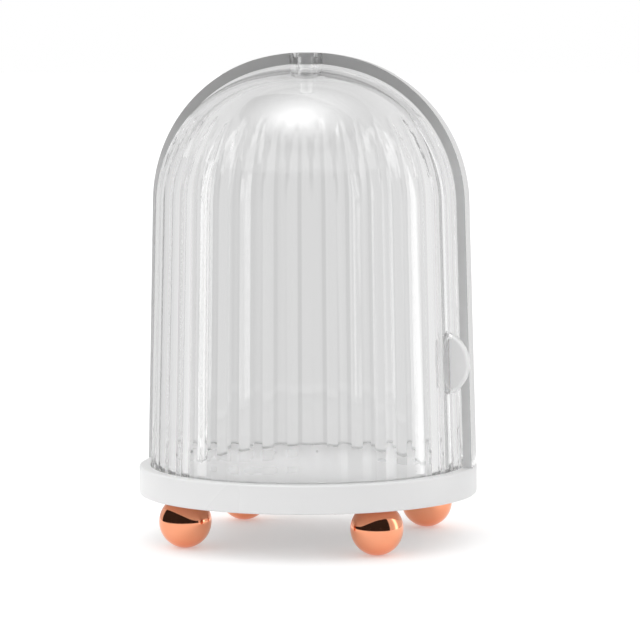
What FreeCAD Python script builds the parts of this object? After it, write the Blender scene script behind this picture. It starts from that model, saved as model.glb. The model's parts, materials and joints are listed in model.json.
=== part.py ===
import FreeCAD, Part
import math
import os

from FreeCAD import Vector

# Makeup sponge case: a clear capsule on a round white base with four ball feet.
# The capsule is two nested half shells. The back one is the outer one and is fixed.
# The front one is a fluted door that turns about an upright pin at the top of the dome.
# Millimetres and degrees. Z is up from the table, -Y is the front, X is to the right.

# Ball feet and their screws
ball_diameter = 12.3
ball_flat = 3.8                # diameter of the flat where a ball meets its seat
foot_inset = 7.33              # ball centres in from the edge of the base
seat_depth = 1.0               # how far a ball stands into the underside
seat_clearance = 0.12          # around a ball where it enters its seat
screw_diameter = 2.2
screw_length = 7.0             # under the head
screw_point = 1.2              # length of the pointed end
screw_tip = 0.55               # diameter of the blunt tip
head_diameter = 3.8
head_height = 1.2
drive_width = 0.6              # one arm of the cross recess in a screw head
drive_length = 2.2
drive_depth = 0.7
thread_clearance = 0.02        # between a screw and the hole it cuts its thread in
hole_clearance = 0.15          # around a screw and its head in the base tray
blind_end = 0.8                # hole left past the screw's point

# Base tray and floor plate
base_diameter = 80.0
base_height = 6.7
base_edge = 0.5                # radius of the tray's outer edges
tray_floor = 2.4               # thickness under the pocket
track_depth = 1.2              # the door's track, below the rim
pocket_wall = 1.1              # between the pocket under the floor plate and the screw heads' holes
spigot_depth = 0.8             # ring that centres the floor plate in the pocket
spigot_wall = 1.2
spigot_clearance = 0.1
plate_edge = 0.2               # radius of the floor plate's upper edge

# Back shell, the fixed outer half of the capsule
rim_inset = 0.1                # shell's foot stands in from the edge of the base
wall_height = 62.2             # straight part of the wall, above the base top
wall_draft = 1.5
dome_flatness = 3.4            # how much lower the dome is than a half ball
crown_flatness = 9.7           # how much larger the crown's radius is than the wall's
shell_wall = 2.06
shell_crown_wall = 2.65
tongue_wall = 0.9
tongue_depth = 1.0
slot_clearance = 0.1           # around the tongue and under it

# Front door, the turning inner half
side_gap = 0.75                # back shell to door at the wall
crown_gap = 0.8                # back shell to door at the top
door_wall = 2.0
door_overlap = 1.5             # door's edges reach this far behind the parting plane
door_lift = 0.1                # under the door in its track
track_clearance = 0.25         # on both sides of the door in its track
flute_count = 20               # over the half circle
flute_depth = 0.95
flute_land = 0.35              # left along each ridge at the door's foot
flute_fade = 2.7               # how much rounder the flutes' path is than the shoulder
flute_sweep = 75.0             # angle that the cutter follows over the shoulder

# Thumb tab at the door's right edge
tab_radius = 8.0
tab_stand = 3.55               # how far the tab stands out from the door's wall
tab_height = 24.7              # centre of the tab above the base top
tab_thickness = 3.0
tab_edge = 0.8                 # radius of the tab's rim
tab_gap = 1.2                  # tab to the back shell's cut edge when shut

# Pivot at the top of the dome
pin_diameter = 3.3
pin_head_diameter = 5.2
pin_head_height = 1.0
pin_head_sink = 0.1            # head's top below the top of the dome
pin_tail = 4.0                 # end of the pin below the door's inner crown
pin_end = 0.6                  # radius of the pin's end
pin_fit = 0.02                 # pin in the back shell's ear, bonded
pin_running = 0.08             # pin in the door's ear and in the washer
ear_diameter = 7.8             # back shell's ear
door_ear_diameter = 6.4
ear_rise = 0.2                 # each ear's flat stands proud of its crown by this
washer_diameter = 6.0
washer_play = 0.05             # above and below the washer

margin = 0.3                   # cutting shapes stand proud of what they cut by this

# Levels, from the table up
ball_radius = ball_diameter / 2
ball_top = ball_radius + math.sqrt(ball_radius ** 2 - (ball_flat / 2) ** 2)
underside = ball_top - seat_depth
base_top = underside + base_height
tray_inside = underside + tray_floor
ledge = base_top - track_depth
spring = base_top + wall_height
draft_slope = math.tan(math.radians(wall_draft))
base_radius = base_diameter / 2
shell_radius = base_radius - rim_inset
spring_radius = shell_radius - wall_height * draft_slope
shell_top = spring + spring_radius - dome_flatness
crown_radius = spring_radius + crown_flatness
shell_crown = shell_top - shell_crown_wall
door_top = shell_crown - crown_gap
door_crown = door_top - door_wall
door_foot = ledge + door_lift
ear_under = shell_crown - ear_rise
door_ear_top = door_top + ear_rise
door_ear_under = door_crown - ear_rise

# Radii at the level of the base top, and of the pin
shell_bore = shell_radius - shell_wall
door_radius = shell_bore - side_gap
door_bore = door_radius - door_wall
door_foot_widening = (base_top - door_foot) * draft_slope
track_outer = door_radius + door_foot_widening + track_clearance
plate_radius = door_bore - track_clearance
foot_circle = base_radius - foot_inset
pocket_radius = foot_circle - head_diameter / 2 - hole_clearance - pocket_wall
pin_radius = pin_diameter / 2

far = 2 * (base_diameter + shell_top)   # larger than the whole object


def capsule_edges(radius, foot, top, crown):
    """Half outline of a capsule from its foot up to the axis: drafted wall, shoulder arc, crown arc."""
    foot_radius = radius + (base_top - foot) * draft_slope
    draft = math.radians(wall_draft)
    inward = Vector(-math.cos(draft), 0, -math.sin(draft))
    wall_end = Vector(radius - wall_height * draft_slope, 0, spring)
    crown_centre = Vector(0, 0, top - crown)
    offset = wall_end - crown_centre
    shoulder = (crown ** 2 - offset.dot(offset)) / (2 * (inward.dot(offset) + crown))
    shoulder_centre = wall_end + inward * shoulder
    up = (shoulder_centre - crown_centre).normalize()
    crown_start = crown_centre + up * crown
    shoulder_middle = shoulder_centre + (up - inward).normalize() * shoulder
    crown_middle = crown_centre + (up + Vector(0, 0, 1)).normalize() * crown
    wall_start = Vector(foot_radius, 0, foot)
    apex = Vector(0, 0, top)
    wall = Part.makeLine(wall_start, wall_end)
    shoulder_arc = Part.Arc(wall_end, shoulder_middle, crown_start).toShape()
    crown_arc = Part.Arc(crown_start, crown_middle, apex).toShape()
    return [wall, shoulder_arc, crown_arc], wall_start, wall_end, apex, shoulder


def capsule_solid(radius, foot, top, crown):
    """Full capsule with a flat foot."""
    edges, wall_start, _, apex, _ = capsule_edges(radius, foot, top, crown)
    centre = Vector(0, 0, foot)
    outline = edges + [Part.makeLine(apex, centre), Part.makeLine(centre, wall_start)]
    return Part.Face(Part.Wire(outline)).revolve(Vector(0, 0, 0), Vector(0, 0, 1), 360)


def half_space(y, side):
    """Large block whose near face lies at y: side +1 is the back, -1 is the front."""
    corner = Vector(-far / 2, y if side > 0 else y - far, -far / 2)
    return Part.makeBox(far, far, far, corner)


def disc(radius, low, high, x=0.0, y=0.0):
    """Upright cylinder between two levels."""
    return Part.makeCylinder(radius, high - low, Vector(x, y, low))


def ring(outer, inner, low, high):
    return disc(outer, low, high).cut(disc(inner, low, high))


def circle_edges(shape, radius, level):
    """The round edges of a shape that lie flat at one level with one radius about the Z axis."""
    found = []
    for edge in shape.Edges:
        box = edge.BoundBox
        flat = abs(box.ZMin - level) < 1e-6 and abs(box.ZMax - level) < 1e-6
        if flat and abs(box.XMax - radius) < 1e-6 and abs(box.XMin + radius) < 1e-6:
            found.append(edge)
    return found


def foot_centres():
    half = foot_circle / math.sqrt(2)
    return {
        "front_left": (-half, -half),
        "front_right": (half, -half),
        "back_left": (-half, half),
        "back_right": (half, half),
    }


def ball_foot(x, y):
    """Plated ball with a small flat where it meets its seat, and a blind hole for its screw."""
    ball = Part.makeSphere(ball_radius, Vector(x, y, ball_radius))
    ball = ball.cut(Part.makeBox(far, far, far, Vector(-far / 2, -far / 2, ball_top)))
    hole_end = tray_inside - screw_length - blind_end
    return ball.cut(disc(screw_diameter / 2 + thread_clearance, hole_end, ball_top, x, y))


def foot_screw(x, y):
    """Self-tapping screw, head up inside the tray, point down in the ball."""
    radius = screw_diameter / 2
    tip = tray_inside - screw_length
    shank = disc(radius, tip + screw_point, tray_inside, x, y)
    point = Part.makeCone(screw_tip / 2, radius, screw_point, Vector(x, y, tip))
    head = disc(head_diameter / 2, tray_inside, tray_inside + head_height, x, y)
    recess_low = tray_inside + head_height - drive_depth
    size = Vector(drive_length, drive_width, drive_depth)
    arm = Part.makeBox(size.x, size.y, size.z, Vector(x - size.x / 2, y - size.y / 2, recess_low))
    cross_arm = arm.copy()
    cross_arm.rotate(Vector(x, y, 0), Vector(0, 0, 1), 90)
    return head.fuse([shank, point]).cut([arm, cross_arm]).removeSplitter()


def ball_seat(x, y):
    """Round recess in the underside that a ball stands into."""
    entry = math.sqrt(ball_radius ** 2 - (underside - ball_radius) ** 2)
    return disc(entry + seat_clearance, underside - seat_depth, ball_top, x, y)


def screw_passage(x, y):
    """Hole for the shank and counterbore for the head, open into the tray."""
    shank = disc(screw_diameter / 2 + hole_clearance, underside, base_top, x, y)
    head = disc(head_diameter / 2 + hole_clearance, tray_inside, base_top, x, y)
    return shank.fuse(head)


def tongue(clearance):
    """Half ring under the back shell's foot; with clearance, the slot that it stands in."""
    middle = shell_radius - shell_wall / 2
    outer = middle + tongue_wall / 2 + clearance
    inner = middle - tongue_wall / 2 - clearance
    half = half_space(-clearance, 1)
    return ring(outer, inner, base_top - tongue_depth - clearance, base_top).common(half)


def base_tray():
    """White moulded tray: rim, track ledge, pocket, ball seats and the back shell's slot."""
    tray = disc(base_radius, underside, base_top)
    edges = circle_edges(tray, base_radius, underside) + circle_edges(tray, base_radius, base_top)
    tray = tray.makeFillet(base_edge, edges)
    cuts = [disc(track_outer, ledge, base_top), disc(pocket_radius, tray_inside, base_top)]
    cuts.append(tongue(slot_clearance))
    for x, y in foot_centres().values():
        cuts.append(ball_seat(x, y))
        cuts.append(screw_passage(x, y))
    return tray.cut(cuts).removeSplitter()


def floor_plate():
    """White disc that the sponge stands on; its edge is the inner side of the door's track."""
    plate = disc(plate_radius, ledge, base_top)
    plate = plate.makeFillet(plate_edge, circle_edges(plate, plate_radius, base_top))
    spigot_radius = pocket_radius - spigot_clearance
    spigot = ring(spigot_radius, spigot_radius - spigot_wall, ledge - spigot_depth, ledge)
    return plate.fuse(spigot).removeSplitter()


def back_shell():
    """Clear outer half of the capsule, with the pin's ear at the top and a tongue at the foot."""
    outside = capsule_solid(shell_radius, base_top, shell_top, crown_radius)
    inside = capsule_solid(shell_bore, base_top, shell_crown, crown_radius - shell_crown_wall)
    half = outside.cut(inside).common(half_space(0, 1))
    ear = disc(ear_diameter / 2, ear_under, shell_top).common(outside)
    shell = half.fuse([ear, tongue(0)])
    head_low = shell_top - pin_head_sink - pin_head_height
    bore = disc(pin_radius + pin_fit, ear_under - margin, shell_top + margin)
    counterbore = disc(pin_head_diameter / 2 + pin_fit, head_low, shell_top + margin)
    return shell.cut([bore, counterbore]).removeSplitter()


def flute_cutter():
    """V-shaped cutter that runs up the door's wall and leaves the surface on the shoulder."""
    crown = crown_radius - shell_crown_wall - crown_gap
    _, wall_start, wall_end, _, shoulder = capsule_edges(door_radius, door_foot, door_top, crown)
    climb = (wall_end - wall_start).normalize()
    outward = Vector(climb.z, 0, -climb.x)
    reach = math.pi / flute_count / 2 - flute_land / 2 / wall_start.x
    mouth = wall_start.x * math.sin(reach)
    fall = wall_start.x * (1 - math.cos(reach))
    proud = mouth * (flute_depth + margin) / (flute_depth - fall)

    def section(at):
        valley = at - outward * flute_depth
        left = at + outward * margin - Vector(0, proud, 0)
        right = at + outward * margin + Vector(0, proud, 0)
        return Part.Face(Part.makePolygon([valley, left, right, valley]))

    # the bend starts a little above the wall's end, clear of the seam there
    low = wall_start - climb * margin
    high = wall_end + climb * margin
    straight = section(low).extrude(high - low)
    path_centre = high - outward * (shoulder + flute_fade)
    bend = section(high).revolve(path_centre, Vector(0, -1, 0), flute_sweep)
    return straight.fuse(bend)


def thumb_tab():
    """Half-moon tab that stands out from the door's right edge in front of the back shell's cut edge."""
    wall = door_radius - tab_height * draft_slope
    centre = Vector(wall + tab_stand - tab_radius, -tab_gap - tab_thickness, base_top + tab_height)
    coin = Part.makeCylinder(tab_radius, tab_thickness, centre, Vector(0, 1, 0))
    rims = [edge for edge in coin.Edges if isinstance(edge.Curve, Part.Circle)]
    return coin.makeFillet(tab_edge, rims)


def front_door():
    """Clear inner half of the capsule: fluted outside, with its pivot ear and thumb tab moulded on."""
    crown = crown_radius - shell_crown_wall - crown_gap
    outside = capsule_solid(door_radius, door_foot, door_top, crown)
    inside = capsule_solid(door_bore, door_foot, door_crown, crown - door_wall)
    door = outside.common(half_space(door_overlap, -1))
    cutter = flute_cutter()
    step = 180 / flute_count
    for index in range(flute_count):
        groove = cutter.copy()
        groove.rotate(Vector(0, 0, 0), Vector(0, 0, 1), -step * (index + 0.5))
        door = door.cut(groove)
    ear = disc(door_ear_diameter / 2, door_ear_under, door_ear_top)
    bore = disc(pin_radius + pin_running, door_ear_under - margin, door_ear_top + margin)
    return door.fuse(thumb_tab()).cut(inside).fuse(ear).cut(bore).removeSplitter()


def pivot_pin():
    """Clear headed pin, bonded in the back shell's ear, that the door turns on."""
    head_top = shell_top - pin_head_sink
    end = door_crown - pin_tail
    stem = disc(pin_radius, end, head_top)
    stem = stem.makeFillet(pin_end, circle_edges(stem, pin_radius, end))
    head = disc(pin_head_diameter / 2, head_top - pin_head_height, head_top)
    return stem.fuse(head).removeSplitter()


def pivot_washer():
    """Clear spacer between the two ears."""
    low = door_ear_top + washer_play
    high = ear_under - washer_play
    return ring(washer_diameter / 2, pin_radius + pin_running, low, high)


def build():
    parts = {
        "base_tray": base_tray(),
        "floor_plate": floor_plate(),
        "back_shell": back_shell(),
        "front_door": front_door(),
        "pivot_pin": pivot_pin(),
        "pivot_washer": pivot_washer(),
    }
    for corner, (x, y) in foot_centres().items():
        parts["foot_" + corner] = ball_foot(x, y)
    parts["foot_screws"] = Part.makeCompound([foot_screw(x, y) for x, y in foot_centres().values()])
    return parts


os.makedirs("parts", exist_ok=True)
for node, shape in build().items():
    shape.exportStep("parts/" + node + ".step")
    box = shape.BoundBox
    print(node, "solids", len(shape.Solids), "valid", shape.isValid(), "volume %.1f" % shape.Volume,
          "z %.2f to %.2f" % (box.ZMin, box.ZMax))
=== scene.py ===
# %% [markdown]
# # A clear sponge case, dressed for a product photograph
# The CAD model is the fixed frame: its pieces already have the right size and stand in the right place. This
# lesson gives every piece a finished mesh and a finished surface. Nearly everything here is clear plastic, so
# three things matter most: smooth walls, honest thickness, and a plain white studio for the walls to bend and
# to mirror.

# %% Load the frame
import bmesh
import bpy
import json
import math
from mathutils import Matrix, Vector

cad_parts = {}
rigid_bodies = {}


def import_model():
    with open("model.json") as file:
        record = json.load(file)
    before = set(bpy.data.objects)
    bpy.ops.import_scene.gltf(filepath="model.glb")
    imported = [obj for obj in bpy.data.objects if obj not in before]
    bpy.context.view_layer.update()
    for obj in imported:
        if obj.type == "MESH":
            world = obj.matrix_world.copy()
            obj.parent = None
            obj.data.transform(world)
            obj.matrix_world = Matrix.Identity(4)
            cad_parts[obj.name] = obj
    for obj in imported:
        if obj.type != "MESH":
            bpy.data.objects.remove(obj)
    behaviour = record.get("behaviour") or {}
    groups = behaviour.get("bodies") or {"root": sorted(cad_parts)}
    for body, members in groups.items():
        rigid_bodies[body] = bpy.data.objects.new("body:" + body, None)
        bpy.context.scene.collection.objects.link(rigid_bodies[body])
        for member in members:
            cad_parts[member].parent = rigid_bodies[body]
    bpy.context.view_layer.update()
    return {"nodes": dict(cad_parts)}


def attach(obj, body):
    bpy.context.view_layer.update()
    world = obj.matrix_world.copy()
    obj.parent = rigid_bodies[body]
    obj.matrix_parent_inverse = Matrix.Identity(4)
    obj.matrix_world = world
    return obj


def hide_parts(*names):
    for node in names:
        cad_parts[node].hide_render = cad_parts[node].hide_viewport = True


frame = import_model()
nodes = frame["nodes"]
scene = bpy.context.scene
MM = 0.001
print("CAD nodes:", ", ".join(sorted(nodes)))

# %% [markdown]
# ## Camera
# The picture was taken from a little above and a little to the right, with a long lens, so upright edges stay
# almost parallel. A camera can be matched by eye, or worked out from edges whose real shape is known. Here the
# round base, the four ball feet and the outline of the dome give the place, the tilt and the lens.

# %% Set the camera
camera_turn = math.radians(16.297)
camera_distance = 806.6 * MM
camera_height = 123.8 * MM
camera_look = camera_turn - math.radians(0.211)
camera_pitch = math.radians(90 - 5.11)
camera_roll = math.radians(-0.25)
camera_data = bpy.data.cameras.new("camera")
camera_data.sensor_width = 36.0
camera_data.lens = 192.785
camera = bpy.data.objects.new("camera", camera_data)
camera.location = Vector((math.sin(camera_turn), -math.cos(camera_turn), 0)) * camera_distance
camera.location.z = camera_height
aim = Matrix.Rotation(camera_look, 4, "Z") @ Matrix.Rotation(camera_pitch, 4, "X")
camera.rotation_euler = (aim @ Matrix.Rotation(camera_roll, 4, "Z")).to_euler()
scene.collection.objects.link(camera)
scene.camera = camera
scene.view_settings.view_transform = "Standard"
print("camera stands at", [round(c, 3) for c in camera.location])

# %% [markdown]
# ## Light paths
# Light that enters a clear wall at its edge is guided round the whole shell, and every turn inside it is one
# more bounce. With few bounces such an edge goes black, so the limits are raised.

# %% Raise the light path limits
bounces = 32
scene.cycles.max_bounces = bounces
scene.cycles.glossy_bounces = bounces
scene.cycles.transmission_bounces = bounces
print("bounces:", bounces)

# %% [markdown]
# ## Materials
# Every finish is a small node tree on the Principled shader. A few helpers keep the trees short to write: they
# start a material, add a node, feed a socket, and add noise that is fixed to the object and measured in
# millimetres, so that a pattern has its real size.


# %% Start a material, add a node, feed a socket
def new_material(name, **values):
    material = bpy.data.materials.new(name)
    material.use_nodes = True
    shader = material.node_tree.nodes["Principled BSDF"]
    for socket, value in values.items():
        shader.inputs[socket.replace("_", " ")].default_value = value
    return material, material.node_tree, shader


def add(tree, kind, **settings):
    node = tree.nodes.new(kind)
    for key, value in settings.items():
        setattr(node, key, value)
    return node


def feed(tree, socket, value):
    """Link a value that comes from another node, or write a plain one into the socket."""
    if isinstance(value, bpy.types.NodeSocket):
        tree.links.new(value, socket)
    else:
        socket.default_value = value


def grey(level):
    return (level, level, level, 1)


# %% Work with numbers and colours inside a tree
def calculate(tree, operation, *values):
    """One step of arithmetic on numbers or on the outputs of other nodes."""
    node = add(tree, "ShaderNodeMath", operation=operation)
    for socket, value in zip(node.inputs, values):
        feed(tree, socket, value)
    return node.outputs[0]


def blend(tree, share, first, second):
    """Two colours mixed by a share from 0 to 1. A plain number stands for a grey."""
    node = add(tree, "ShaderNodeMix", data_type="RGBA")
    tree.links.new(share, node.inputs["Factor"])
    for socket, value in (("A", first), ("B", second)):
        feed(tree, node.inputs[socket], grey(value) if isinstance(value, float) else value)
    return node.outputs["Result"]


def grey_steps(ramp, steps):
    """Fill a colour ramp with greys, given as (place, level) from low to high."""
    ramp.elements.remove(ramp.elements[0])
    for number, (place, level) in enumerate(steps):
        stop = ramp.elements.new(place) if number else ramp.elements[0]
        stop.position = place
        stop.color = grey(level)


# %% Patterns in millimetres
def noise(tree, width, detail=2.0, stretch=(1, 1, 1)):
    """Noise on Object coordinates whose patches are about this many millimetres wide."""
    place = add(tree, "ShaderNodeTexCoord")
    mapping = add(tree, "ShaderNodeMapping")
    mapping.inputs["Scale"].default_value = stretch
    pattern = add(tree, "ShaderNodeTexNoise")
    pattern.inputs["Scale"].default_value = 1.0 / (width * MM)
    pattern.inputs["Detail"].default_value = detail
    tree.links.new(place.outputs["Object"], mapping.inputs["Vector"])
    tree.links.new(mapping.outputs[0], pattern.inputs["Vector"])
    return pattern.outputs["Fac"]


def spread(tree, value, low, high):
    """Noise, which seldom leaves the middle of its range, stretched to run from one value to another."""
    node = add(tree, "ShaderNodeMapRange")
    for socket, number in (("From Min", 0.3), ("From Max", 0.7), ("To Min", low), ("To Max", high)):
        node.inputs[socket].default_value = number
    tree.links.new(value, node.inputs["Value"])
    return node.outputs["Result"]


def relief(tree, shader, height, depth, strength):
    """Bumps of this many millimetres."""
    bump = add(tree, "ShaderNodeBump")
    bump.inputs["Distance"].default_value = depth * MM
    bump.inputs["Strength"].default_value = strength
    tree.links.new(height, bump.inputs["Height"])
    tree.links.new(bump.outputs["Normal"], shader.inputs["Normal"])


def tone_by_height(tree, tones):
    """Grey by height above the ground, given as (millimetres, tone) from low to high."""
    top = tones[-1][0]
    split = add(tree, "ShaderNodeSeparateXYZ")
    tree.links.new(add(tree, "ShaderNodeTexCoord").outputs["Object"], split.inputs[0])
    node = add(tree, "ShaderNodeValToRGB")
    grey_steps(node.color_ramp, [(height / top, tone) for height, tone in tones])
    tree.links.new(calculate(tree, "DIVIDE", split.outputs["Z"], top * MM), node.inputs[0])
    return node.outputs["Color"]


# %% [markdown]
# ## Clear plastic
# The two half shells, the pivot pin and its washer are moulded from clear plastic. The real walls are polished
# but not perfect: they carry a slow ripple from the mould and a trace of handling. The shell's parting face and
# the thumb tab are not polished, and show as a soft satin. The parting face also carries painted shade: it is
# painted grey, darker towards the dome. One material serves all of it. The satin and this painted shade are
# laid on by two attributes that the meshes carry, because light that goes in at one face of a wall and out at
# another must meet the same material at both. A faint absorption greys the long way round inside a wall.

# %% Clear plastic
clear_tone = 0.99
clear_rough = 0.03
clear_density = 4.0
# Painted shade: the parting face's grey, painted darker towards the dome, in (millimetres, tone) steps.
parting_face_painted_shade = [(0, 0.92), (85, 0.73), (100, 0.52), (112, 0.45)]
face_rough = 0.32
face_clear = 0.3
tab_tone = 0.97
tab_rough = 0.35
tab_clear = 0.15
clear, tree, shader = new_material("clear_plastic", IOR=1.49)
on_face = add(tree, "ShaderNodeAttribute", attribute_name="parting_face").outputs["Fac"]
on_tab = add(tree, "ShaderNodeAttribute", attribute_name="thumb_tab").outputs["Fac"]
ripple = noise(tree, width=12.0, detail=1.0)
handling = spread(tree, ripple, 0.0, clear_rough)
# The parting face gets the painted shade by height; the rest of the plastic keeps its clear tone.
tone = blend(tree, on_face, clear_tone, tone_by_height(tree, parting_face_painted_shade))
rough = blend(tree, on_face, handling, face_rough)
through = blend(tree, on_face, 1.0, face_clear)
tree.links.new(blend(tree, on_tab, tone, tab_tone), shader.inputs["Base Color"])
tree.links.new(blend(tree, on_tab, rough, tab_rough), shader.inputs["Roughness"])
tree.links.new(blend(tree, on_tab, through, tab_clear), shader.inputs["Transmission Weight"])
relief(tree, shader, ripple, depth=0.05, strength=0.15)
haze = add(tree, "ShaderNodeVolumeAbsorption")
haze.inputs["Color"].default_value = grey(0)
haze.inputs["Density"].default_value = clear_density
tree.links.new(haze.outputs[0], tree.nodes["Material Output"].inputs["Volume"])
print("clear plastic:", len(tree.nodes), "nodes")

# %% [markdown]
# ## White plastic
# The base and its floor plate are glossy white mouldings. A moulding is never one flat white: the surface has
# a very fine grain, the gloss wanders a little, and the colour shifts by a percent or so. The floor plate is
# painted whiter than the tray, as painted light that makes up for the dimmer light it gets under the shells, so
# one recipe makes two materials.


# %% White plastic
def white_plastic(name, tone):
    material, tree, shader = new_material(name)
    cloud = noise(tree, width=25.0, detail=0.0)
    tree.links.new(blend(tree, cloud, tone - 0.005, tone + 0.005), shader.inputs["Base Color"])
    tree.links.new(spread(tree, cloud, 0.26, 0.34), shader.inputs["Roughness"])
    relief(tree, shader, noise(tree, width=0.6, detail=0.0), depth=0.002, strength=0.05)
    print(name, "is made of", len(tree.nodes), "nodes")
    return material


tray_white = white_plastic("white_plastic_tray", 0.87)
# The plate's whiter tone is painted light, standing in for light it lacks under the shells.
plate_white_painted_light = white_plastic("white_plastic_plate_painted_light", 0.93)

# %% [markdown]
# ## Rose-gold plating
# The ball feet are plated plastic: a thin copper-pink metal over a polished ball. Plating follows the ball
# under it, so it mirrors the room with a slight orange peel, and its gloss is a little uneven.

# %% Rose-gold plating
deep_copper = (0.89, 0.35, 0.19, 1)
pale_copper = (0.93, 0.39, 0.23, 1)
rose, tree, shader = new_material("rose_gold_plating", Metallic=1.0)
patches = noise(tree, width=3.0, detail=2.0)
gloss = noise(tree, width=1.2, detail=3.0)
orange_peel = noise(tree, width=0.8, detail=1.0)
tree.links.new(blend(tree, patches, deep_copper, pale_copper), shader.inputs["Base Color"])
tree.links.new(spread(tree, gloss, 0.04, 0.11), shader.inputs["Roughness"])
relief(tree, shader, orange_peel, depth=0.01, strength=0.08)
print("rose-gold plating:", len(tree.nodes), "nodes")

# %% [markdown]
# ## Screw steel
# The foot screws are zinc-plated steel. Rolled screws are never mirror bright: fine marks run round them, so
# the noise is squeezed along the screw.

# %% Screw steel
steel, tree, shader = new_material("screw_steel", Metallic=1.0)
marks = noise(tree, width=0.6, detail=2.0, stretch=(1, 1, 8))
tree.links.new(blend(tree, noise(tree, width=1.5, detail=3.0), 0.5, 0.66), shader.inputs["Base Color"])
tree.links.new(spread(tree, marks, 0.22, 0.42), shader.inputs["Roughness"])
relief(tree, shader, marks, depth=0.02, strength=0.3)
print("screw steel:", len(tree.nodes), "nodes")

# %% [markdown]
# ## Finishing a mesh
# Faces that meet at a shallow angle are shaded as one smooth surface, and the real edges stay sharp. Then the
# piece is attached to the CAD body that carries it, gets its finish, and the CAD node it replaces is hidden.
# The shells are modelled in millimetres and brought to metres here. Copies of CAD meshes are in metres already.


# %% Finish a piece
def finish_piece(work, name, body, material, replaces, sharp=30.0, scale=1.0):
    bmesh.ops.scale(work, vec=(scale, scale, scale), verts=work.verts)
    for face in work.faces:
        face.smooth = True
    limit = math.radians(sharp)
    for edge in work.edges:
        edge.smooth = edge.is_manifold and edge.calc_face_angle(0) < limit
    open_edges = sum(1 for edge in work.edges if not edge.is_manifold)
    mesh = bpy.data.meshes.new(name)
    work.to_mesh(mesh)
    work.free()
    mesh.materials.append(material)
    piece = bpy.data.objects.new(name, mesh)
    scene.collection.objects.link(piece)
    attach(piece, body)
    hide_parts(replaces)
    print(name, len(mesh.polygons), "faces,", open_edges, "open edges")


# %% Mark some faces of a mesh for its material
def mark(work, name, chosen):
    """Write an attribute that is 1 on the chosen faces and 0 elsewhere."""
    layer = work.faces.layers.float.new(name)
    count = 0
    for face in work.faces:
        face[layer] = 1.0 if chosen(face) else 0.0
        count += int(face[layer])
    print(name, "marked on", count, "faces")


# %% [markdown]
# ## The lathe
# Both half shells begin as a full turned body, because a closed outline spun round an axis is the surest way
# to an even wall. The outline is drawn by turning as well: a vertex is extruded along each straight run and
# spun through each arc.


# %% Draw with extrude and spin
def made_vertex(geometry):
    return [item for item in geometry if isinstance(item, bmesh.types.BMVert)][0]


def run_to(work, vertex, x, z, cuts=0):
    """Straight run from a vertex to a point, in equal steps."""
    start = vertex.co.copy()
    for step in range(1, cuts + 2):
        vertex = bmesh.ops.extrude_vert_indiv(work, verts=[vertex])["verts"][0]
        vertex.co = start.lerp(Vector((x, 0, z)), step / (cuts + 1))
    return vertex


def arc_to(work, vertex, centre, angle, steps):
    """Arc about a centre in the upright plane; a positive angle turns from +X up to +Z."""
    made = bmesh.ops.spin(work, geom=[vertex], cent=centre, axis=(0, -1, 0), angle=angle, steps=steps)
    return made_vertex(made["geom_last"])


# %% Turn the outline into a body
def turn_outline(work, last, first, steps):
    work.edges.new((last, first))
    bmesh.ops.spin(work, geom=work.verts[:] + work.edges[:], cent=(0, 0, 0), axis=(0, 0, 1),
                   angle=2 * math.pi, steps=steps, use_merge=True)
    bmesh.ops.remove_doubles(work, verts=work.verts, dist=0.0005)
    bmesh.ops.recalc_face_normals(work, faces=work.faces)
    print("turned body:", len(work.faces), "faces")


# %% [markdown]
# ## The capsule's outline
# From the base up, the wall leans in by a small draft, a tight shoulder arc bends it over, and a flatter crown
# arc closes the top. The four skins of the two shells share this outline at different sizes, so one small
# class works out where wall, shoulder and crown meet without a kink. A shell's whole outline runs up its outer
# skin, round the corners of its pivot ear, and down its inner skin.

# %% Where the wall, the shoulder arc and the crown arc meet
draft = math.radians(1.5)
base_top = 17.7
wall_height = 62.2


class Capsule:
    """One skin, from its radius at the base top, the levels of its foot and top, and its crown's radius."""

    def __init__(self, radius, foot, top, crown):
        slope = math.tan(draft)
        self.foot = Vector((radius + (base_top - foot) * slope, 0, foot))
        self.spring = Vector((radius - wall_height * slope, 0, base_top + wall_height))
        self.crown_centre = Vector((0, 0, top - crown))
        self.crown = crown
        inward = Vector((-math.cos(draft), 0, -math.sin(draft)))
        offset = self.spring - self.crown_centre
        self.shoulder = (crown ** 2 - offset.length_squared) / (2 * (inward.dot(offset) + crown))
        self.shoulder_centre = self.spring + inward * self.shoulder
        up = (self.shoulder_centre - self.crown_centre).normalized()
        self.crown_tilt = math.atan2(up.z, up.x)
        self.shoulder_angle = self.crown_tilt - draft

    def crown_angle_to(self, radius):
        """Angle of the crown arc from its start to where it is this far from the axis."""
        return math.acos(radius / self.crown) - self.crown_tilt

    def crown_height(self, radius):
        return self.crown_centre.z + math.sqrt(self.crown ** 2 - radius ** 2)


# %% Draw a shell's outline
def draw_shell(outer, inner, ear_corners, outer_steps, inner_steps):
    """Outline up the outer skin, round the pivot ear's corners (radius, level), and down the inner skin.

    The steps are those of the wall, the shoulder arc and the crown arc of each skin.
    """
    work = bmesh.new()
    first = work.verts.new(outer.foot)
    wall, shoulder, crown = outer_steps
    vertex = run_to(work, first, outer.spring.x, outer.spring.z, wall)
    vertex = arc_to(work, vertex, outer.shoulder_centre, outer.shoulder_angle, shoulder)
    vertex = arc_to(work, vertex, outer.crown_centre, outer.crown_angle_to(ear_corners[0][0]), crown)
    for radius, level in ear_corners:
        vertex = run_to(work, vertex, radius, level)
    wall, shoulder, crown = inner_steps
    vertex = arc_to(work, vertex, inner.crown_centre, -inner.crown_angle_to(ear_corners[-1][0]), crown)
    vertex = arc_to(work, vertex, inner.shoulder_centre, -inner.shoulder_angle, shoulder)
    vertex = run_to(work, vertex, inner.foot.x, inner.foot.z, wall)
    return work, vertex, first


# %% [markdown]
# ## Sawing and joining
# A half shell is a turned body with one half sawn off. A boolean does this cleanly, because the saw has to
# go round the pivot ear at the top instead of through it. The same tool joins the thumb tab to the door.


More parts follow.
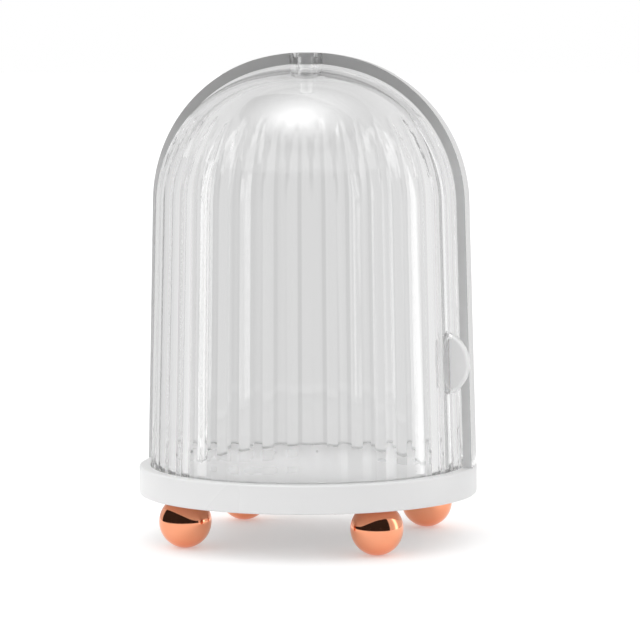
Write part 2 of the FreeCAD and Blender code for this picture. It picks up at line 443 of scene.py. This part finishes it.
# %% Boolean helper
def boolean(work, tool, operation):
    """The solid in one mesh cut by, or joined with, the solid in another."""
    pieces = []
    for source in (work, tool):
        mesh = bpy.data.meshes.new("boolean_work")
        source.to_mesh(mesh)
        source.free()
        piece = bpy.data.objects.new("boolean_work", mesh)
        scene.collection.objects.link(piece)
        pieces.append(piece)
    modifier = pieces[0].modifiers.new("boolean", "BOOLEAN")
    modifier.solver = "EXACT"
    modifier.operation = operation
    modifier.object = pieces[1]
    result = pieces[0].evaluated_get(bpy.context.evaluated_depsgraph_get())
    made = bmesh.new()
    made.from_mesh(result.to_mesh())
    result.to_mesh_clear()
    for piece in pieces:
        mesh = piece.data
        bpy.data.objects.remove(piece)
        bpy.data.meshes.remove(mesh)
    return made


# %% The saw block
saw_reach = 60.0
saw_height = 130.0
saw_clearance = 0.02


def saw_block(level, ear_radius, side):
    """Block on one side (1 or -1) of the plane y = level, with a round notch that spares the ear."""
    notch = ear_radius + saw_clearance
    reach = math.sqrt(notch ** 2 - level ** 2)
    turn = math.pi - 2 * side * math.atan2(level, reach)
    far = side * saw_reach
    work = bmesh.new()
    first = work.verts.new((reach, level, 0))
    made = bmesh.ops.spin(work, geom=[first], cent=(0, 0, 0), axis=(0, 0, 1), angle=side * turn, steps=64)
    vertex = made_vertex(made["geom_last"])
    for x, y in ((-saw_reach, level), (-saw_reach, far), (saw_reach, far), (saw_reach, level)):
        vertex = bmesh.ops.extrude_vert_indiv(work, verts=[vertex])["verts"][0]
        vertex.co = (x, y, 0)
    work.edges.new((vertex, first))
    bmesh.ops.contextual_create(work, geom=work.edges[:])
    made = bmesh.ops.extrude_face_region(work, geom=work.faces[:])
    raised = [item for item in made["geom"] if isinstance(item, bmesh.types.BMVert)]
    bmesh.ops.translate(work, verts=raised, vec=(0, 0, saw_height))
    bmesh.ops.recalc_face_normals(work, faces=work.faces)
    return work


# %% Soften the sawn edges
cut_softness = 0.2


def on_plane(thing, level):
    return all(abs(v.co.y - level) < 0.001 for v in thing.verts)


def soften_cut(work, level):
    """Small round along the edges that the saw plane left."""
    edges = [e for e in work.edges
             if on_plane(e, level) and e.is_manifold and e.calc_face_angle(0) > math.radians(60)]
    bmesh.ops.bevel(work, geom=edges, offset=cut_softness, offset_type="OFFSET", segments=2, profile=0.5,
                    affect="EDGES", material=-1, clamp_overlap=True)
    print("edges softened:", len(edges))


# %% [markdown]
# ## Back shell
# The back half of the capsule is fixed and smooth. Inside its top hangs a round ear with the bore and the head
# seat of the pivot pin, and a thin tongue under its foot sits in the base's groove.

# %% Back shell: outline and turning
shell_radius = 39.9
shell_wall = 2.06
shell_top = 114.7699
shell_crown_wall = 2.65
crown_radius = 47.9712
pin_radius = 1.65
pin_head_radius = 2.6
pin_head_depth = 1.1
pin_fit = 0.02
ear_radius = 3.9
ear_rise = 0.2
tongue_half = 0.45
tongue_depth = 1.0
shell_crown = shell_top - shell_crown_wall
outer = Capsule(shell_radius, base_top, shell_top, crown_radius)
inner = Capsule(shell_radius - shell_wall, base_top, shell_crown, crown_radius - shell_crown_wall)
ear_corners = ((pin_head_radius + pin_fit, shell_top - pin_head_depth),
               (pin_radius + pin_fit, shell_top - pin_head_depth),
               (pin_radius + pin_fit, shell_crown - ear_rise),
               (ear_radius, shell_crown - ear_rise),
               (ear_radius, inner.crown_height(ear_radius)))
work, vertex, first = draw_shell(outer, inner, ear_corners,
                                 outer_steps=(5, 40, 24), inner_steps=(5, 40, 22))
tongue_middle = shell_radius - shell_wall / 2
for aside, level in ((-tongue_half, base_top), (-tongue_half, base_top - tongue_depth),
                     (tongue_half, base_top - tongue_depth), (tongue_half, base_top)):
    vertex = run_to(work, vertex, tongue_middle + aside, level)
turn_outline(work, vertex, first, steps=240)

# %% Back shell: saw, soften, mark the parting face
work = boolean(work, saw_block(0.0, ear_radius, -1), "DIFFERENCE")
soften_cut(work, 0.0)
mark(work, "parting_face", lambda face: on_plane(face, 0.0))
finish_piece(work, "clear_back_shell", "case", clear, "back_shell", scale=MM)

# %% [markdown]
# ## Front door
# The front half is the inner shell. It turns about the pin at the top, so it slides round inside the back half.
# It is turned like the back shell, with many more steps, because its outer skin is going to carry the flutes.

# %% Front door: outline and turning
side_gap = 0.75
crown_gap = 0.8
door_wall = 2.0
track_depth = 1.2
door_lift = 0.1
door_ear_radius = 3.2
pin_running = 0.08
door_radius = shell_radius - shell_wall - side_gap
door_foot = base_top - track_depth + door_lift
door_top = shell_crown - crown_gap
door_crown = door_top - door_wall
door_crown_radius = crown_radius - shell_crown_wall - crown_gap
outer = Capsule(door_radius, door_foot, door_top, door_crown_radius)
inner = Capsule(door_radius - door_wall, door_foot, door_crown, door_crown_radius - door_wall)
ear_corners = ((door_ear_radius, door_top + ear_rise),
               (pin_radius + pin_running, door_top + ear_rise),
               (pin_radius + pin_running, door_crown - ear_rise),
               (door_ear_radius, door_crown - ear_rise),
               (door_ear_radius, inner.crown_height(door_ear_radius)))
work, vertex, first = draw_shell(outer, inner, ear_corners,
                                 outer_steps=(7, 80, 16), inner_steps=(3, 40, 16))
turn_outline(work, vertex, first, steps=480)

# %% [markdown]
# ## Flutes
# Twenty V grooves run up the outside of the door, nine degrees apart, and fade out where the dome bends over:
# there the bottom of the groove follows a larger arc than the dome itself. Cutting them with twenty tools
# would leave ragged faces. Moving the skin's own vertices inwards keeps the mesh even: each one goes in along
# the skin's normal until it lies on the flank of its groove, or on the narrow flat along the groove's bottom.

# %% Flute sizes
flute_count = 20
flute_depth = 0.95
flute_land = 0.35
flute_fade = 2.7
valley_flat = 0.96
bend_lift = 0.3
half_pitch = math.pi / flute_count / 2
reach = half_pitch - flute_land / 2 / outer.foot.x   # half a groove's mouth, as an angle
mouth = outer.foot.x * math.sin(reach)               # the same in millimetres
fall = outer.foot.x * (1 - math.cos(reach))          # how far the round skin drops across it
flank = (flute_depth - fall) / mouth                 # slope of the groove's side
climb = (outer.spring - outer.foot).normalized()
outward = Vector((climb.z, 0, -climb.x))
bend_start = outer.spring + climb * bend_lift
bend_radius = outer.shoulder + flute_fade
bend_centre = bend_start - outward * bend_radius
print("flutes:", flute_count, "of", round(2 * mouth, 2), "mm across")


# %% Where a point of the skin is in its groove
def wall_radius_at(z):
    return outer.foot.x - (z - outer.foot.z) * math.tan(draft)


def on_outer_skin(place, radius, near=0.01):
    if place.z < bend_start.z:
        return abs(radius - wall_radius_at(place.z)) < near
    out = math.hypot(radius - outer.shoulder_centre.x, place.z - outer.shoulder_centre.z)
    return abs(out - outer.shoulder) < near


def groove_offset(place):
    """Angle from the middle of the nearest groove."""
    angle = math.atan2(-place.y, place.x)
    middle = (math.floor(angle / (2 * half_pitch)) + 0.5) * 2 * half_pitch
    if middle > math.pi:
        middle -= 2 * half_pitch
    return abs(angle - middle)


def groove_move(radius, z, aside):
    """Skin normal, and how far a point goes in along it to reach the groove."""
    along = radius * math.cos(aside)
    across = radius * math.sin(aside)
    if z < bend_start.z:
        normal = outward
        height = (Vector((along, 0, z)) - outer.foot).dot(outward)
    else:
        from_centre = Vector((along, 0, z)) - bend_centre
        normal = from_centre.normalized()
        height = from_centre.length - bend_radius
    over = height + flute_depth - flank * max(across, valley_flat / 2)
    slope = flank if across > valley_flat / 2 else 0.0
    lean = normal.x ** 2 * math.cos(aside) + normal.z ** 2 - slope * normal.x * math.sin(aside)
    return normal, over / lean


# %% Press the flutes into the skin
moved = 0
for vertex in work.verts:
    place = vertex.co
    radius = math.hypot(place.x, place.y)
    if place.y > 0.001 or not on_outer_skin(place, radius):
        continue
    normal, move = groove_move(radius, place.z, groove_offset(place))
    if move > 0:
        vertex.co -= move * Vector((normal.x * place.x / radius, normal.x * place.y / radius, normal.z))
        moved += 1
print("vertices pressed in:", moved)

# %% Front door: saw and soften
door_overlap = 1.5
work = boolean(work, saw_block(door_overlap, door_ear_radius, 1), "DIFFERENCE")
soften_cut(work, door_overlap)

# %% [markdown]
# ## Thumb tab
# A half-moon tab stands out at the door's right edge, to push the door round with a thumb. It is a short round
# disc with a rounded rim, cut off inside the door's wall, and joined to it. Like the parting face it is satin.

# %% Thumb tab: disc, rim, joint
tab_radius = 8.0
tab_thickness = 3.0
tab_edge = 0.8
tab_gap = 1.2
tab_height = 24.7
tab_stand = 3.55
tab_root = 35.0
tab_centre = Vector((wall_radius_at(base_top + tab_height) + tab_stand - tab_radius,
                     -tab_gap - tab_thickness / 2, base_top + tab_height))
tab = bmesh.new()
bmesh.ops.create_cone(tab, cap_ends=True, segments=96, radius1=tab_radius, radius2=tab_radius,
                      depth=tab_thickness,
                      matrix=Matrix.Translation(tab_centre) @ Matrix.Rotation(math.pi / 2, 4, "X"))
rims = [edge for edge in tab.edges if edge.calc_face_angle(0) > 1.0]
bmesh.ops.bevel(tab, geom=rims, offset=tab_edge, offset_type="OFFSET", segments=10, profile=0.5,
                affect="EDGES", material=-1, clamp_overlap=True)
bmesh.ops.bisect_plane(tab, geom=tab.verts[:] + tab.edges[:] + tab.faces[:],
                       plane_co=(tab_root, 0, 0), plane_no=(1, 0, 0), clear_inner=True)
bmesh.ops.holes_fill(tab, edges=[edge for edge in tab.edges if edge.is_boundary], sides=0)
bmesh.ops.recalc_face_normals(tab, faces=tab.faces)
work = boolean(work, tab, "UNION")


# %% Thumb tab: mark its faces and finish the door
def of_thumb_tab(face, proud=0.02, margin=0.5):
    """True for faces at the tab's level that stand proud of the door's wall."""
    place = face.calc_center_median()
    outside = math.hypot(place.x, place.y) > wall_radius_at(place.z) + proud
    return outside and abs(place.z - tab_centre.z) < tab_radius + margin


mark(work, "thumb_tab", of_thumb_tab)
finish_piece(work, "clear_front_door", "door", clear, "front_door", sharp=12.0, scale=MM)

# %% [markdown]
# ## Pieces that keep the CAD shape
# The base tray, the floor plate, the pin, the washer, the ball feet and the screws are already right in the
# CAD model. Their meshes are copied, their loose triangles are merged, and they get the finishes above.


# %% Copy and finish the rest
def finish_copy(node, name, material):
    """Copy a CAD node's mesh, join its loose triangles and finish it."""
    work = bmesh.new()
    work.from_mesh(nodes[node].data)
    bmesh.ops.remove_doubles(work, verts=work.verts, dist=0.002 * MM)
    bmesh.ops.dissolve_degenerate(work, edges=work.edges, dist=0.001 * MM)
    finish_piece(work, name, "case", material, node)


finish_copy("base_tray", "white_base_tray", tray_white)
finish_copy("floor_plate", "white_floor_plate", plate_white_painted_light)
finish_copy("pivot_pin", "clear_pivot_pin", clear)
finish_copy("pivot_washer", "clear_pivot_washer", clear)
for corner in ("front_left", "front_right", "back_left", "back_right"):
    finish_copy("foot_" + corner, "ball_foot_" + corner, rose)
finish_copy("foot_screws", "steel_foot_screws", steel)

# %% [markdown]
# ## The white room
# A clear thing on white is lit by what stands round it. The floor and the room are plain white. The room gives
# soft light from all round, more of it from above and from the left. What the camera, the mirrors and the clear
# walls see of floor and room is set to plain white by the kind of ray, so the background stays white without
# pouring more light on the object.


# %% Rays that should see plain white
def seen_directly(tree):
    """1 for rays from the camera, mirrored rays and rays through clear walls, and 0 for soft light."""
    path = add(tree, "ShaderNodeLightPath").outputs
    seen = calculate(tree, "MAXIMUM", path["Is Camera Ray"], path["Is Glossy Ray"])
    return calculate(tree, "MAXIMUM", seen, path["Is Transmission Ray"])


# %% Floor
floor_tone = 0.86
floor_glow = 0.3
floor_half = 6.0
floor_paint, tree, shader = new_material("floor_paint", Base_Color=grey(floor_tone), Roughness=0.6,
                                         Emission_Color=grey(1))
glow = calculate(tree, "MULTIPLY", seen_directly(tree), floor_glow)
tree.links.new(glow, shader.inputs["Emission Strength"])
work = bmesh.new()
bmesh.ops.create_grid(work, x_segments=1, y_segments=1, size=floor_half)
mesh = bpy.data.meshes.new("floor")
work.to_mesh(mesh)
work.free()
mesh.materials.append(floor_paint)
floor = bpy.data.objects.new("floor", mesh)
scene.collection.objects.link(floor)
print("floor is", 2 * floor_half, "m across")

# %% Room: soft light by direction
room_level = 0.55
room_top = 0.65
room_side = 0.35
world = bpy.data.worlds.new("white_room")
scene.world = world
world.use_nodes = True
tree = world.node_tree
sky = add(tree, "ShaderNodeTexCoord").outputs["Generated"]
direction = add(tree, "ShaderNodeSeparateXYZ")
leftward = add(tree, "ShaderNodeVectorMath", operation="DOT_PRODUCT")
leftward.inputs[1].default_value = (-math.cos(camera_turn), -math.sin(camera_turn), 0)
tree.links.new(sky, direction.inputs[0])
tree.links.new(sky, leftward.inputs[0])
above = calculate(tree, "MAXIMUM", direction.outputs["Z"], 0.0)
beside = calculate(tree, "MAXIMUM", leftward.outputs["Value"], 0.0)
soft_level = calculate(tree, "MULTIPLY_ADD", above, room_top, room_level)
soft_level = calculate(tree, "MULTIPLY_ADD", beside, room_side, soft_level)
print("room light", room_level, "plus", room_top, "from above and", room_side, "from the left")

# %% Room: plain white where it is seen
soft = tree.nodes["Background"]
soft.inputs["Color"].default_value = grey(1)
tree.links.new(soft_level, soft.inputs["Strength"])
plain = add(tree, "ShaderNodeBackground")
plain.inputs["Color"].default_value = grey(1)
choose = add(tree, "ShaderNodeMixShader")
tree.links.new(seen_directly(tree), choose.inputs[0])
tree.links.new(soft.outputs[0], choose.inputs[1])
tree.links.new(plain.outputs[0], choose.inputs[2])
tree.links.new(choose.outputs[0], tree.nodes["World Output"].inputs["Surface"])
print("room:", len(tree.nodes), "nodes")

# %% [markdown]
# ## The light tent
# Product photographers put clear things in a tent of white cloth with grey and bright panels in it. The walls
# then have something to bend and mirror: without it, clear plastic on white all but disappears. This tent is
# a cone of cloth whose brightness goes by its direction round the object. It is seen only by mirrored rays
# and rays through clear walls, so it neither lights the white plastic nor shows in the picture.

# %% Stage helpers
off_floor = 0.0005


def glow_material(name, level):
    material = bpy.data.materials.new(name)
    material.use_nodes = True
    tree = material.node_tree
    tree.nodes.clear()
    output = add(tree, "ShaderNodeOutputMaterial")
    emission = add(tree, "ShaderNodeEmission")
    emission.inputs["Strength"].default_value = level
    tree.links.new(emission.outputs[0], output.inputs[0])
    return material, tree, emission


def stage_piece(work, name, material, matrix, mirrored=True, through=True):
    """A piece of the studio that only mirrored rays, or rays through clear walls, can see."""
    bmesh.ops.transform(work, matrix=matrix, verts=work.verts)
    mesh = bpy.data.meshes.new(name)
    work.to_mesh(mesh)
    work.free()
    mesh.materials.append(material)
    piece = bpy.data.objects.new(name, mesh)
    scene.collection.objects.link(piece)
    piece.visible_camera = False
    piece.visible_diffuse = False
    piece.visible_shadow = False
    piece.visible_volume_scatter = False
    piece.visible_glossy = mirrored
    piece.visible_transmission = through


# %% Tent cloth
# Each panel is (azimuth, level): azimuth 0 is towards the camera, 180 is behind, and both sides are alike.
right_panels = [(60, 0.82), (72, 0.95), (78, 2.6), (87, 2.6), (92, 0.95), (100, 0.85), (130, 0.78),
                (150, 0.75), (168, 0.74), (175, 0.65), (180, 0.63)]
left_panels = [(-azimuth, level) for azimuth, level in reversed(right_panels)]
# A colour ramp holds levels up to 1, so each level is kept as a share of this one.
full_level = 8.0
cloth, tree, emission = glow_material("tent_cloth", full_level)
turned = add(tree, "ShaderNodeVectorRotate", rotation_type="Z_AXIS")
turned.inputs["Angle"].default_value = -camera_turn
direction = add(tree, "ShaderNodeSeparateXYZ")
tree.links.new(add(tree, "ShaderNodeTexCoord").outputs["Object"], turned.inputs["Vector"])
tree.links.new(turned.outputs[0], direction.inputs[0])
forward = calculate(tree, "MULTIPLY", direction.outputs["Y"], -1.0)
angle = calculate(tree, "ARCTAN2", direction.outputs["X"], forward)
panels = add(tree, "ShaderNodeValToRGB")
panels.color_ramp.interpolation = "EASE"
grey_steps(panels.color_ramp, [((azimuth + 180) / 360, level / full_level)
                               for azimuth, level in left_panels + right_panels])
tree.links.new(calculate(tree, "MULTIPLY_ADD", angle, 0.5 / math.pi, 0.5), panels.inputs[0])
tree.links.new(panels.outputs[0], emission.inputs["Color"])
print("tent panels:", len(left_panels + right_panels))

# %% Tent
tent_foot = 0.16
tent_rim = 0.30
tent_height = 0.50
work = bmesh.new()
bmesh.ops.create_cone(work, cap_ends=False, segments=96, radius1=tent_foot, radius2=tent_rim,
                      depth=tent_height)
stage_piece(work, "tent", cloth, Matrix.Translation((0, 0, tent_height / 2 + off_floor)))
print("tent stands", tent_height, "m high")

# %% [markdown]
# ## Lamps and a dark wall
# A broad lamp overhead gives the dome its soft bright patch, and a bright ceiling is seen through the dome.
# Both fade out towards their edges, because a hard edge would show as an outline in the clear top. A dark wall
# bent round the front is seen by mirrored rays only. It gives the polished balls the dark band that makes
# them read as metal, and it keeps the front of the clear walls from going milky.

# %% Place a lamp round the object
object_middle = Vector((0, 0, 0.06))
lamp_distance = 1.0


def lamp_place(azimuth, height, width, tall):
    """A card that faces the object: azimuth 0 is towards the camera, positive to the picture's right."""
    turn = math.radians(azimuth) + camera_turn
    rise = math.radians(height)
    out = Vector((math.sin(turn) * math.cos(rise), -math.cos(turn) * math.cos(rise), math.sin(rise)))
    spot = object_middle + out * lamp_distance
    face = (object_middle - spot).to_track_quat("Z", "Y").to_matrix().to_4x4()
    return Matrix.Translation(spot) @ face @ Matrix.Diagonal((width, tall, 1, 1))


def fade_to_edge(tree, emission, place):
    """Brightest in the middle of the card, fading to nothing at its edge."""
    spin = place.to_3x3()
    mapping = add(tree, "ShaderNodeMapping", vector_type="TEXTURE")
    mapping.inputs["Location"].default_value = place.translation
    mapping.inputs["Rotation"].default_value = spin.normalized().to_euler()
    mapping.inputs["Scale"].default_value = [0.5 * spin.col[i].length for i in (0, 1, 2)]
    ball = add(tree, "ShaderNodeTexGradient", gradient_type="QUADRATIC_SPHERE")
    tree.links.new(add(tree, "ShaderNodeTexCoord").outputs["Object"], mapping.inputs["Vector"])
    tree.links.new(mapping.outputs[0], ball.inputs["Vector"])
    tree.links.new(ball.outputs["Color"], emission.inputs["Color"])


def add_lamp(name, level, azimuth, height, width, tall, mirrored=True, through=True):
    place = lamp_place(azimuth, height, width, tall)
    work = bmesh.new()
    bmesh.ops.create_grid(work, x_segments=1, y_segments=1, size=0.5)
    material, tree, emission = glow_material(name, level)
    fade_to_edge(tree, emission, place)
    stage_piece(work, name, material, place, mirrored, through)
    print(name, "at level", level)


# %% Lamps
add_lamp("overhead_lamp", 6.5, azimuth=-35, height=75, width=1.5, tall=1.1, through=False)
add_lamp("ceiling", 9.0, azimuth=0, height=89, width=1.9, tall=1.9, mirrored=False)

# %% Dark wall in front, bent round the object
dark_level = 0.03
dark_from = math.radians(-105)
dark_to = math.radians(50)
dark_radius = 0.15
dark_height = 0.15
dark, tree, emission = glow_material("dark_wall", dark_level)
work = bmesh.new()
foot = work.verts.new((0, -dark_radius, off_floor))
top = bmesh.ops.extrude_vert_indiv(work, verts=[foot])["verts"][0]
top.co.z = dark_height
bmesh.ops.spin(work, geom=work.verts[:] + work.edges[:], cent=(0, 0, 0), axis=(0, 0, 1),
               angle=dark_to - dark_from, steps=48)
stage_piece(work, "dark_wall", dark, Matrix.Rotation(camera_turn + dark_from, 4, "Z"), through=False)
print("dark wall spans", round(math.degrees(dark_to - dark_from)), "degrees")
